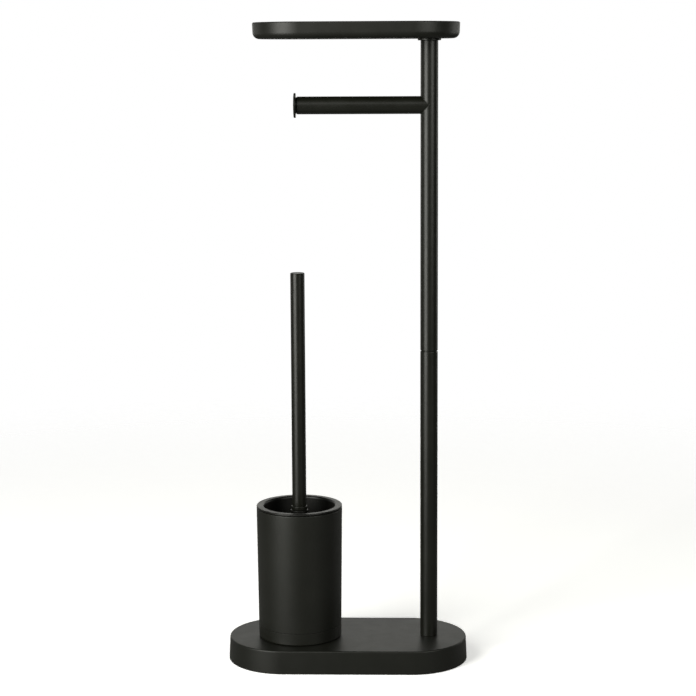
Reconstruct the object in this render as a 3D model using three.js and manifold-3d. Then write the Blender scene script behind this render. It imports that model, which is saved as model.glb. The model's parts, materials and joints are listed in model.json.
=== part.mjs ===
// A free-standing toilet butler: a weighted stadium base carries a two-piece pole with a roll arm
// and a tray shelf, and a toilet brush in its lift-off holder.
// Millimetres, +Z up. The origin is on the floor under the centre of the base. The pole is on the +X
// side, the brush on the -X side, and the front faces -Y.

import * as THREE from 'three';
import { mergeVertices } from 'three/addons/utils/BufferGeometryUtils.js';
import Module from 'manifold-3d';

const wasm = await Module();
wasm.setup();

// ---------------------------------------------------------------- driving dimensions

const overallHeight = 700;
const jointHeight = 346; // where the two pole tubes meet
const gap = 0.3; // left between faces that touch
const slidingFit = 0.5; // radial room round a piece that lifts out
const drawIn = 1; // how far one solid reaches into another that it is joined to or cut from

const tube = { diameter: 19, wall: 1.2, edge: 0.5 };

const base = {
  length: 265,
  depth: 127,
  height: 26, // floor to the top face
  draft: 1.2, // how far the side leans in on its way up
  topRound: 1.5,
  wall: 2.5,
  footProud: 0.5, // the rim stands this far off the floor
  plate: 2.8,
  poleInset: 42.5, // from the +X end to the pole's axis
  holderInset: 79.5, // from the -X end to the brush's axis
};

const foot = { diameter: 16, recess: 1.4, inset: 16 };
const plateScrew = { diameter: 3, head: 5.6, headHeight: 1.8, length: 12, inset: 9, boss: 7.5 };
const poleBolt = { diameter: 8, length: 25, head: 13, headHeight: 5.3, access: 28 };
const washer = { diameter: 22, thickness: 1.6 };
const insertLength = 24;
const jointStud = { diameter: 10, length: 42 };

const shelf = {
  length: 222,
  depth: 107,
  height: 17.5,
  overhang: 32.8, // from the pole's axis to the +X end
  underRound: 7,
  innerRound: 4.5,
  wall: 3,
  floor: 5,
};
const flange = { overhang: 3, thickness: 1.8 };
const shelfScrew = { diameter: 6, head: 12, headHeight: 3, length: 20 };
const screwCap = { diameter: 16, thickness: 1.2 };

const arm = { reach: 142.5, drop: 70.5, neck: 0.45, neckDiameter: 17.2, plugLength: 14 };
const endDisc = { diameter: 26.5, thickness: 2.1, dome: 0.7, domeDiameter: 14 };

const holder = {
  topDiameter: 94.4,
  bottomDiameter: 91.4,
  height: 148, // base top to the liner's lip
  wall: 2.6,
  footHeight: 13,
  footFloor: 2.6,
  spigot: 6, // how far the foot reaches up inside the tumbler
  ringProud: 0.3,
};
const grip = { outer: 80, width: 8, thickness: 1.8 }; // rubber ring under the holder
const liner = {
  lip: 1.6,
  lipInnerRound: 2.2,
  shadowGap: 0.8, // height of the recessed band between the lip and the tumbler
  shadowInset: 1.6,
  mouth: 78.4,
  bottom: 72,
  wall: 1.8,
  floorRoom: 2,
  skirt: 4,
  skirtWall: 1.6,
};

const handle = { diameter: 15.5, wall: 1, top: 431.4, edge: 0.6, plug: 8, insert: 20 };
const ferrule = { overhang: 1, thickness: 4 };
const brush = {
  stud: 8,
  studLength: 22,
  flangeDiameter: 19.5,
  flangeHeight: 3,
  flangeAboveLip: -5.7, // the flange's top against the liner's lip
  stem: 14,
  core: 26,
  coreHeight: 72,
  bristleTop: 70, // bristle envelope's diameters
  bristleBottom: 66,
  bristleEnd: 5, // bristle above and below the core
};

const facets = { large: 48, holder: 40, tube: 24, small: 12 };

// ---------------------------------------------------------------- places worked out from them

const poleX = base.length / 2 - base.poleInset;
const holderX = base.holderInset - base.length / 2;
const tubeBore = tube.diameter - 2 * tube.wall;
const insertDiameter = tubeBore - 2 * gap;

const rimZ = base.footProud;
const plateBottom = rimZ + 0.4; // the plate sits just inside the rim
const plateTop = plateBottom + base.plate;
const ceilingZ = base.height - base.wall;

const lowerBottom = base.height + gap;
const lowerTop = jointHeight - gap;
const upperBottom = jointHeight + gap;
const trayBottom = overallHeight - shelf.height;
const flangeTop = trayBottom - gap;
const flangeBottom = flangeTop - flange.thickness;
const upperTop = flangeBottom - gap;
const armZ = trayBottom - arm.drop;

const floorTop = trayBottom + shelf.floor;
const capSeat = floorTop - screwCap.thickness;

// Heights in the holder's own frame, which starts on the base's top face.
const footBottom = gap + holder.ringProud;
const tumblerBottom = footBottom + holder.footHeight + gap;
const lipBottom = holder.height - liner.lip;
const shoulderBottom = lipBottom - liner.shadowGap;
const tumblerTop = shoulderBottom - gap;
const linerBottom = footBottom + holder.footFloor + liner.floorRoom;
const linerFloor = linerBottom + liner.wall;
const brushBottom = linerFloor + gap;
const coreBottom = brushBottom + brush.bristleEnd;
const coreTop = coreBottom + brush.coreHeight;
const flangeRingTop = holder.height + brush.flangeAboveLip;
const flangeRingBottom = flangeRingTop - brush.flangeHeight;
const ferruleBottom = flangeRingTop + gap;
const handleBottom = ferruleBottom + ferrule.thickness + gap;
const handleTop = handle.top - base.height;

// ---------------------------------------------------------------- materials

const finish = (color, roughness, metalness = 0) =>
  new THREE.MeshStandardMaterial({ color, roughness, metalness });

const materials = {
  powderCoat: finish(0x232322, 0.55, 0.1),
  mouldedBlack: finish(0x2a2a29, 0.6),
  linerBlack: finish(0x1b1b1b, 0.42),
  bristle: finish(0x161616, 0.5),
  rubber: finish(0x141414, 0.9),
  zinc: finish(0x9a9c9f, 0.4, 0.9),
  concrete: finish(0x8c8a85, 0.95),
};

// ---------------------------------------------------------------- solids

const pt = (r, z) => new THREE.Vector2(r, z);

// Points of an arc in a profile, angles in degrees from the outward direction.
function arc(r, z, radius, from, to, steps = 4) {
  return Array.from({ length: steps + 1 }, (_, i) => {
    const angle = THREE.MathUtils.degToRad(from + ((to - from) * i) / steps);
    return pt(r + radius * Math.cos(angle), z + radius * Math.sin(angle));
  });
}

// A closed geometry as a solid that can be joined and cut, without the triangles that collapsed on
// the axis.
function solid(geometry) {
  const bare = new THREE.BufferGeometry();
  bare.setAttribute('position', geometry.getAttribute('position').clone());
  bare.setIndex(geometry.index);
  const merged = mergeVertices(bare, 1e-3);
  const index = merged.index.array;
  const kept = [];
  for (let i = 0; i < index.length; i += 3) {
    const [a, b, c] = [index[i], index[i + 1], index[i + 2]];
    if (a !== b && b !== c && c !== a) kept.push(a, b, c);
  }
  const vertProperties = new Float32Array(merged.getAttribute('position').array);
  const triVerts = new Uint32Array(kept);
  return new wasm.Manifold(new wasm.Mesh({ numProp: 3, vertProperties, triVerts }));
}

// The solid back as a geometry with flat faces.
function geometryOf(body) {
  const { vertProperties, numProp, numVert, triVerts } = body.getMesh();
  const positions = new Float32Array(numVert * 3);
  for (let i = 0; i < numVert; i++) {
    positions.set(vertProperties.subarray(i * numProp, i * numProp + 3), i * 3);
  }
  const indexed = new THREE.BufferGeometry();
  indexed.setAttribute('position', new THREE.BufferAttribute(positions, 3));
  indexed.setIndex(new THREE.BufferAttribute(triVerts, 1));
  const geometry = indexed.toNonIndexed();
  geometry.computeVertexNormals();
  return geometry;
}

// A profile turned about +Z. It runs upwards on the outside, and starts and ends on the axis.
function turned(profile, count) {
  return solid(new THREE.LatheGeometry(profile, count).rotateX(Math.PI / 2));
}

// The same for a profile that closes on itself, such as a tube's wall.
function turnedRing(profile, count) {
  return turned([...profile, profile[0].clone()], count);
}

function rod(diameter, bottom, top, count = facets.tube) {
  const r = diameter / 2;
  return turned([pt(0, bottom), pt(r, bottom), pt(r, top), pt(0, top)], count);
}

function ring(inner, outer, bottom, top, count = facets.tube) {
  const [r0, r1] = [inner / 2, outer / 2];
  return turnedRing([pt(r0, bottom), pt(r1, bottom), pt(r1, top), pt(r0, top)], count);
}

// A tube with its outer edges broken at both ends.
function brokenTube({ diameter, wall, edge }, bottom, top) {
  const outer = diameter / 2;
  const inner = outer - wall;
  return turnedRing(
    [
      pt(inner, bottom),
      pt(outer - edge, bottom),
      pt(outer, bottom + edge),
      pt(outer, top - edge),
      pt(outer - edge, top),
      pt(inner, top),
    ],
    facets.tube,
  );
}

// A profile turned and then drawn out along X into a stadium: one half of the turned shape moves to
// each end, and the facets that cross x = 0 become the straight sides.
function stadium(profile, length, depth) {
  const stretch = (length - depth) / 2;
  const halfStep = Math.PI / facets.large;
  const geometry = new THREE.LatheGeometry(profile, facets.large, halfStep);
  const position = geometry.getAttribute('position');
  for (let i = 0; i < position.count; i++) {
    const column = Math.floor(i / profile.length);
    const side = Math.sign(Math.sin(halfStep * (1 + 2 * column)));
    position.setX(i, position.getX(i) + side * stretch);
  }
  return solid(geometry.rotateX(Math.PI / 2));
}

const moved = (body, x, y, z = 0) => body.translate([x, y, z]);

function mesh(name, body, material) {
  const made = new THREE.Mesh(geometryOf(body), material);
  made.name = name;
  return made;
}

// ---------------------------------------------------------------- base

// Where the plate's screws stand: one at each end, and four where the straight sides meet the ends.
function plateScrewPlaces() {
  const stretch = (base.length - base.depth) / 2;
  const out = base.depth / 2 - base.draft - base.wall - plateScrew.inset;
  const corners = [-1, 1].flatMap((sx) => [-1, 1].map((sy) => [sx * stretch, sy * out]));
  return [...corners, [stretch + out, 0], [-stretch - out, 0]];
}

// The feet stand between the screws, on the diagonals of the round ends.
function footPlaces() {
  const stretch = (base.length - base.depth) / 2;
  const out = (base.depth / 2 - base.draft - foot.inset) * Math.SQRT1_2;
  return [-1, 1].flatMap((sx) => [-1, 1].map((sy) => [sx * (stretch + out), sy * out]));
}

function baseCover() {
  const outer = base.depth / 2;
  const topOuter = outer - base.draft;
  const inner = outer - base.wall;
  const topInner = topOuter - base.wall;
  const shell = stadium(
    [
      pt(0, ceilingZ),
      pt(topInner, ceilingZ),
      pt(inner, rimZ),
      pt(outer, rimZ),
      ...arc(topOuter - base.topRound, base.height - base.topRound, base.topRound, 0, 90),
      pt(0, base.height),
    ],
    base.length,
    base.depth,
  );
  const pilot = plateScrew.diameter - 2 * gap;
  const pilotTop = plateTop + plateScrew.length;
  const bosses = plateScrewPlaces().map(([x, y]) => {
    const post = rod(plateScrew.boss, plateTop + gap, ceilingZ + drawIn, facets.small);
    const hole = rod(pilot + 4 * gap, plateTop, Math.min(pilotTop, ceilingZ - drawIn), facets.small);
    return moved(post.subtract(hole), x, y);
  });
  const boltHole = rod(poleBolt.diameter + 2 * gap, ceilingZ - drawIn, base.height + drawIn);
  return bosses.reduce((body, boss) => body.add(boss), shell).subtract(moved(boltHole, poleX, 0));
}

function basePlate() {
  // Measured at the rim, where the shell is widest, less its lean over the plate's own height.
  const lean = (base.draft * (plateTop - rimZ)) / (base.height - rimZ);
  const r = base.depth / 2 - base.wall - gap - lean;
  const sheet = stadium(
    [pt(0, plateBottom), pt(r, plateBottom), pt(r, plateTop), pt(0, plateTop)],
    base.length - base.depth + 2 * r,
    2 * r,
  );
  const recessTop = rimZ + foot.recess + gap;
  const recesses = footPlaces().map(([x, y]) =>
    moved(rod(foot.diameter + 2 * gap, 0, recessTop), x, y),
  );
  const holes = plateScrewPlaces().map(([x, y]) => {
    const seat = rod(plateScrew.head + 2 * gap, 0, plateBottom + plateScrew.headHeight, facets.small);
    const way = rod(plateScrew.diameter + 2 * gap, 0, plateTop + drawIn, facets.small);
    return moved(seat.add(way), x, y);
  });
  const access = moved(rod(poleBolt.access, 0, plateTop + drawIn), poleX, 0);
  return [...recesses, ...holes, access].reduce((body, cut) => body.subtract(cut), sheet);
}

// A cap pressed into the plate over the pole bolt, flush with the plate's underside.
function boltAccessCap() {
  const r = poleBolt.access / 2 - gap;
  const edge = 0.4;
  return turned(
    [
      pt(0, plateBottom),
      pt(r - edge, plateBottom),
      pt(r, plateBottom + edge),
      pt(r, plateTop),
      pt(0, plateTop),
    ],
    facets.tube,
  );
}

function ballastBlock() {
  const bottom = plateTop + gap;
  const top = ceilingZ - gap;
  const r = base.depth / 2 - base.draft - base.wall - 2 * gap;
  const block = stadium(
    [pt(0, bottom), pt(r, bottom), pt(r, top), pt(0, top)],
    base.length - base.depth + 2 * r,
    2 * r,
  );
  const cuts = plateScrewPlaces().map(([x, y]) =>
    moved(rod(plateScrew.boss + 6 * gap, 0, base.height, facets.small), x, y),
  );
  cuts.push(moved(rod(poleBolt.access, 0, base.height), poleX, 0));
  return cuts.reduce((body, cut) => body.subtract(cut), block);
}

function rubberFoot() {
  const r = foot.diameter / 2;
  return turned(
    [pt(0, 0), pt(r - 0.5, 0), pt(r, 0.5), pt(r, rimZ + foot.recess), pt(0, rimZ + foot.recess)],
    facets.tube,
  );
}

function plateScrewBody() {
  const headBottom = plateBottom + gap;
  const headTop = plateBottom + plateScrew.headHeight - gap;
  const head = rod(plateScrew.head, headBottom, headTop, facets.small);
  const end = Math.min(plateTop + plateScrew.length, ceilingZ - drawIn) - gap;
  return head.add(rod(plateScrew.diameter - 2 * gap, headBottom, end, facets.small));
}

function makeBase() {
  const group = new THREE.Group();
  group.add(mesh('base_cover', baseCover(), materials.mouldedBlack));
  group.add(mesh('base_plate', basePlate(), materials.mouldedBlack));
  group.add(mesh('ballast_block', ballastBlock(), materials.concrete));
  const cap = mesh('bolt_access_cap', boltAccessCap(), materials.mouldedBlack);
  cap.position.x = poleX;
  group.add(cap);
  footPlaces().forEach(([x, y], i) => {
    const made = mesh(`rubber_foot_${i + 1}`, rubberFoot(), materials.rubber);
    made.position.set(x, y, 0);
    group.add(made);
  });
  plateScrewPlaces().forEach(([x, y], i) => {
    const made = mesh(`plate_screw_${i + 1}`, plateScrewBody(), materials.zinc);
    made.position.set(x, y, 0);
    group.add(made);
  });
  return group;
}

// ---------------------------------------------------------------- pole

// A threaded plug welded inside a tube's end.
function threadedInsert(thread, bottom) {
  return ring(thread + 2 * gap, insertDiameter, bottom, bottom + insertLength);
}

function poleBoltBody() {
  const headTop = ceilingZ - gap - washer.thickness - gap;
  const head = rod(poleBolt.head, headTop - poleBolt.headHeight, headTop, 6);
  return head.add(rod(poleBolt.diameter, headTop - drawIn, headTop + poleBolt.length));
}

function poleWasher() {
  const top = ceilingZ - gap;
  return ring(poleBolt.diameter + 2 * gap, washer.diameter, top - washer.thickness, top);
}

function shelfFlange() {
  const outer = tube.diameter + 2 * flange.overhang;
  return ring(shelfScrew.diameter + 2 * gap, outer, flangeBottom, flangeTop);
}

function makePole() {
  const group = new THREE.Group();
  group.position.x = poleX;
  const stud = rod(
    jointStud.diameter,
    jointHeight - jointStud.length / 2,
    jointHeight + jointStud.length / 2,
  );
  const parts = [
    ['pole_bolt', poleBoltBody(), materials.zinc],
    ['pole_washer', poleWasher(), materials.zinc],
    ['lower_tube', brokenTube(tube, lowerBottom, lowerTop), materials.powderCoat],
    ['lower_foot_insert', threadedInsert(poleBolt.diameter, lowerBottom), materials.zinc],
    ['lower_top_insert', threadedInsert(jointStud.diameter, lowerTop - insertLength), materials.zinc],
    ['joint_stud', stud, materials.zinc],
    ['upper_tube', brokenTube(tube, upperBottom, upperTop), materials.powderCoat],
    ['upper_foot_insert', threadedInsert(jointStud.diameter, upperBottom), materials.zinc],
    ['upper_top_insert', threadedInsert(shelfScrew.diameter, upperTop - insertLength), materials.zinc],
    ['shelf_flange', shelfFlange(), materials.powderCoat],
  ];
  parts.forEach(([name, body, material]) => group.add(mesh(name, body, material)));
  return group;
}

// ---------------------------------------------------------------- roll arm

// The arm's own +Z runs along it, away from the pole. Its root is cut to saddle the pole.
function rollArmTube() {
  const outer = tube.diameter / 2;
  const inner = outer - tube.wall;
  const blank = turnedRing(
    [
      pt(inner, 0),
      pt(outer, 0),
      pt(outer, arm.reach - tube.edge),
      pt(outer - tube.edge, arm.reach),
      pt(inner, arm.reach),
    ],
    facets.tube,
  );
  const pole = rod(tube.diameter + 2 * gap, -tube.diameter, tube.diameter).rotate([0, 90, 0]);
  return blank.subtract(pole);
}

function rollArmCap() {
  const plug = insertDiameter / 2;
  const neck = arm.neckDiameter / 2;
  const neckStart = arm.reach + gap;
  const discStart = neckStart + arm.neck;
  const discEnd = discStart + endDisc.thickness;
  const edge = endDisc.thickness / 4;
  const disc = endDisc.diameter / 2;
  return turned(
    [
      pt(0, arm.reach - arm.plugLength),
      pt(plug, arm.reach - arm.plugLength),
      pt(plug, neckStart),
      pt(neck, neckStart),
      pt(neck, discStart),
      pt(disc - edge, discStart),
      pt(disc, discStart + edge),
      pt(disc, discEnd - edge),
      pt(disc - edge, discEnd),
      pt(endDisc.domeDiameter / 2, discEnd),
      pt(endDisc.domeDiameter / 4, discEnd + endDisc.dome * 0.8),
      pt(0, discEnd + endDisc.dome),
    ],
    facets.tube,
  );
}

function makeRollArm() {
  const group = new THREE.Group();
  group.position.set(poleX, 0, armZ);
  group.rotation.y = -Math.PI / 2;
  group.add(mesh('roll_arm_tube', rollArmTube(), materials.powderCoat));
  group.add(mesh('roll_arm_cap', rollArmCap(), materials.powderCoat));
  return group;
}

// ---------------------------------------------------------------- shelf

function shelfTray() {
  const outer = shelf.depth / 2;
  const inner = outer - shelf.wall;
  const lipRound = shelf.wall / 2;
  const tray = stadium(
    [
      pt(0, trayBottom),
      ...arc(outer - shelf.underRound, trayBottom + shelf.underRound, shelf.underRound, -90, 0),
      ...arc(outer - lipRound, overallHeight - lipRound, lipRound, 0, 180),
      ...arc(inner - shelf.innerRound, floorTop + shelf.innerRound, shelf.innerRound, 0, -90),
      pt(0, floorTop),
    ],
    shelf.length,
    shelf.depth,
  );
  const seat = rod(screwCap.diameter + 2 * gap, capSeat, floorTop + drawIn);
  const cone = turned(
    [
      pt(0, capSeat - shelfScrew.headHeight),
      pt(shelfScrew.diameter / 2 + gap, capSeat - shelfScrew.headHeight),
      pt(shelfScrew.head / 2 + gap, capSeat),
      pt(shelfScrew.head / 2 + gap, capSeat + drawIn / 2),
      pt(0, capSeat + drawIn / 2),
    ],
    facets.tube,
  );
  const way = rod(shelfScrew.diameter + 2 * gap, trayBottom - drawIn, capSeat);
  const centre = poleX + shelf.overhang - shelf.length / 2;
  return moved(tray, centre, 0).subtract(moved(seat.add(cone).add(way), poleX, 0));
}

function shelfScrewBody() {
  const top = capSeat - gap;
  const r = shelfScrew.diameter / 2;
  return turned(
    [
      pt(0, top - shelfScrew.length),
      pt(r, top - shelfScrew.length),
      pt(r, capSeat - shelfScrew.headHeight),
      pt(shelfScrew.head / 2 - gap, top),
      pt(0, top),
    ],
    facets.tube,
  );
}

function shelfScrewCap() {
  const r = screwCap.diameter / 2;
  const bottom = capSeat + gap;
  const edge = screwCap.thickness / 3;
  const top = bottom + screwCap.thickness;
  return turned(
    [pt(0, bottom), pt(r, bottom), pt(r, top - edge), pt(r - edge, top), pt(0, top)],
    facets.tube,
  );
}

function makeShelf() {
  const group = new THREE.Group();
  group.add(mesh('shelf_tray', shelfTray(), materials.mouldedBlack));
  const screw = mesh('shelf_screw', shelfScrewBody(), materials.zinc);
  const cap = mesh('shelf_screw_cap', shelfScrewCap(), materials.mouldedBlack);
  screw.position.x = poleX;
  cap.position.x = poleX;
  group.add(screw, cap);
  return group;
}

// ---------------------------------------------------------------- brush holder

// The holder's outer radius at a height in its own frame.
function holderRadius(z) {
  const share = (z - footBottom) / (tumblerTop - footBottom);
  return (holder.bottomDiameter + (holder.topDiameter - holder.bottomDiameter) * share) / 2;
}

function holderTumbler() {
  const bottom = holderRadius(tumblerBottom);
  const top = holderRadius(tumblerTop);
  const edge = 0.4;
  return turnedRing(
    [
      pt(bottom - holder.wall, tumblerBottom),
      pt(bottom - edge, tumblerBottom),
      pt(bottom, tumblerBottom + edge),
      pt(top, tumblerTop - edge),
      pt(top - edge, tumblerTop),
      pt(top - holder.wall, tumblerTop),
    ],
    facets.holder,
  );
}

// The tumbler's closed foot, with a spigot that reaches up inside it and a groove for the grip ring.
function holderFoot() {
  const bottom = holderRadius(footBottom);
  const shoulder = tumblerBottom - gap;
  const top = holderRadius(shoulder);
  const spigot = holderRadius(tumblerBottom) - holder.wall - gap;
  const bore = spigot - holder.wall;
  const edge = 0.4;
  const cup = turned(
    [
      pt(0, footBottom),
      pt(bottom - 2 * edge, footBottom),
      pt(bottom, footBottom + 2 * edge),
      pt(top, shoulder - edge),
      pt(top - edge, shoulder),
      pt(spigot, shoulder),
      pt(spigot, shoulder + holder.spigot),
      pt(bore, shoulder + holder.spigot),
      pt(bore, footBottom + holder.footFloor),
      pt(0, footBottom + holder.footFloor),
    ],
    facets.holder,
  );
  const grooveTop = gap + grip.thickness + gap;
  const groove = ring(
    grip.outer - 2 * grip.width - 2 * gap,
    grip.outer + 2 * gap,
    footBottom - drawIn,
    grooveTop,
    facets.holder,
  );
  return cup.subtract(groove);
}

function gripRing() {
  return ring(grip.outer - 2 * grip.width, grip.outer, gap, gap + grip.thickness, facets.holder);
}

// The cup that stands in the tumbler. Its lip stands on a recessed band over the tumbler's edge, and
// a skirt centres it.
function linerCup() {
  const lipOuter = holderRadius(tumblerTop);
  const mouth = liner.mouth / 2;
  const bottom = liner.bottom / 2;
  const skirtOuter = lipOuter - holder.wall - slidingFit;
  const lipTop = holder.height;
  const outerRound = liner.lip * 0.6;
  const innerRound = liner.lipInnerRound;
  const shoulder = lipOuter - liner.shadowInset;
  return turned(
    [
      pt(0, linerBottom),
      pt(bottom + liner.wall - 1.5, linerBottom),
      pt(bottom + liner.wall, linerBottom + 1.5),
      pt(mouth + liner.wall, shoulderBottom),
      pt(skirtOuter - liner.skirtWall, shoulderBottom),
      pt(skirtOuter - liner.skirtWall, shoulderBottom - liner.skirt),
      pt(skirtOuter, shoulderBottom - liner.skirt),
      pt(skirtOuter, shoulderBottom),
      pt(shoulder, shoulderBottom),
      pt(shoulder, lipBottom),
      pt(lipOuter, lipBottom),
      ...arc(lipOuter - outerRound, lipTop - outerRound, outerRound, 0, 90, 3),
      ...arc(mouth + innerRound, lipTop - innerRound, innerRound, 90, 180, 3),
      pt(bottom, linerFloor + 2),
      pt(bottom - 2, linerFloor),
      pt(0, linerFloor),
    ],
    facets.holder,
  );
}

// ---------------------------------------------------------------- brush

function handleTube() {
  return brokenTube(handle, handleBottom, handleTop);
}

// A disc pressed in flush with the handle's top end.
function handlePlug() {
  const bore = handle.diameter - 2 * handle.wall;
  return rod(bore - 2 * gap, handleTop - handle.plug, handleTop - gap);
}

function handleInsert() {
  const bore = handle.diameter - 2 * handle.wall;
  return ring(brush.stud + 2 * gap, bore - 2 * gap, handleBottom, handleBottom + handle.insert);
}

function brushFerrule() {
  const outer = handle.diameter + 2 * ferrule.overhang;
  return ring(brush.stud + 2 * gap, outer, ferruleBottom, ferruleBottom + ferrule.thickness);
}

// One moulding: threaded stud, flange, stem and the core that carries the tufts.
function brushCore() {
  const core = brush.core / 2;
  const stem = brush.stem / 2;
  const flangeRadius = brush.flangeDiameter / 2;
  return turned(
    [
      pt(0, coreBottom),
      pt(core - 3, coreBottom),
      pt(core, coreBottom + 3),
      pt(core, coreTop - 3),
      pt(stem, coreTop + 3),
      pt(stem, flangeRingBottom - 3),
      pt(flangeRadius, flangeRingBottom),
      pt(flangeRadius, flangeRingTop),
      pt(brush.stud / 2, flangeRingTop),
      pt(brush.stud / 2, flangeRingTop + brush.studLength),
      pt(0, flangeRingTop + brush.studLength),
    ],
    facets.tube,
  );
}

// The space that the tufts fill, closed round the core.
function brushBristles() {
  const top = brush.bristleTop / 2;
  const bottom = brush.bristleBottom / 2;
  const round = brush.bristleEnd;
  const envelope = turned(
    [
      pt(0, brushBottom),
      pt(bottom - round, brushBottom),
      pt(bottom, brushBottom + round),
      pt(top, coreTop - round),
      pt(top - round, coreTop),
      pt(0, coreTop),
    ],
    facets.holder,
  );
  const hollow = rod(brush.core + 2 * gap, coreBottom - gap, coreTop + drawIn);
  return envelope.subtract(hollow);
}

function makeBrushSet() {
  const group = new THREE.Group();
  group.position.set(holderX, 0, base.height);
  const parts = [
    ['holder_tumbler', holderTumbler(), materials.mouldedBlack],
    ['holder_foot', holderFoot(), materials.mouldedBlack],
    ['holder_grip_ring', gripRing(), materials.rubber],
    ['liner_cup', linerCup(), materials.linerBlack],
    ['brush_handle_tube', handleTube(), materials.powderCoat],
    ['brush_handle_plug', handlePlug(), materials.powderCoat],
    ['brush_handle_insert', handleInsert(), materials.zinc],
    ['brush_ferrule', brushFerrule(), materials.powderCoat],
    ['brush_core', brushCore(), materials.linerBlack],
    ['brush_bristles', brushBristles(), materials.bristle],
  ];
  parts.forEach(([name, body, material]) => group.add(mesh(name, body, material)));
  return group;
}

// ---------------------------------------------------------------- the whole object

const toiletButler = new THREE.Group();
toiletButler.add(makeBase(), makePole(), makeRollArm(), makeShelf(), makeBrushSet());

export default toiletButler;
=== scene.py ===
"""A free-standing toilet paper holder with a shelf and a brush set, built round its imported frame."""

from __future__ import annotations

import json
import logging
import math
import random
from collections.abc import Callable, Sequence
from dataclasses import dataclass
from enum import Enum

import bmesh
import bpy
from mathutils import Matrix, Quaternion, Vector

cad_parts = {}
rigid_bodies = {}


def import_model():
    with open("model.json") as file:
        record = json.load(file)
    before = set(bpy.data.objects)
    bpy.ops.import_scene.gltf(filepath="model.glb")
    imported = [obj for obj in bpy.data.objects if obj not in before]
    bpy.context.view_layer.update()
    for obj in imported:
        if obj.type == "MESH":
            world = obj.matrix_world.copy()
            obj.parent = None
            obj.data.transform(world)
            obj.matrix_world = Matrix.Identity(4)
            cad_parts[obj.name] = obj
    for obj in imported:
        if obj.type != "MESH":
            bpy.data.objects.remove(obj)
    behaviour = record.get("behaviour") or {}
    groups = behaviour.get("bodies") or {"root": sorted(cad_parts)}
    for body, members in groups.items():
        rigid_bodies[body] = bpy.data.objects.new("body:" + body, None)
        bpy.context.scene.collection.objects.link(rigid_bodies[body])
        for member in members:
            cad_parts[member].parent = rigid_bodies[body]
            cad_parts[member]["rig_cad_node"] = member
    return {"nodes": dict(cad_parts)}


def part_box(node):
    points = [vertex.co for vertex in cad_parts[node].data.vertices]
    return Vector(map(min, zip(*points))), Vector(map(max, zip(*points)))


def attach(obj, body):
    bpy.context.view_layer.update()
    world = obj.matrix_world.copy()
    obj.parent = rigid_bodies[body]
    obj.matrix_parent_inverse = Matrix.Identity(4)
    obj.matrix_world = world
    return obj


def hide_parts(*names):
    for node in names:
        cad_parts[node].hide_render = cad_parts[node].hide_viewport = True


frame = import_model()

LOG = logging.getLogger("toilet_butler")
MM = 0.001
TURN = 2 * math.pi
GAP = 0.3  # left between pieces that meet, in millimetres


# ---------------------------------------------------------------- finishes


class Slot(Enum):
    """The record's material slots."""

    POWDER_COAT = "powder_coat"
    MOULDED = "moulded_black"
    LINER = "liner_black"
    BRISTLE = "bristle"
    RUBBER = "rubber"
    ZINC = "zinc"
    CONCRETE = "concrete"


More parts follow.
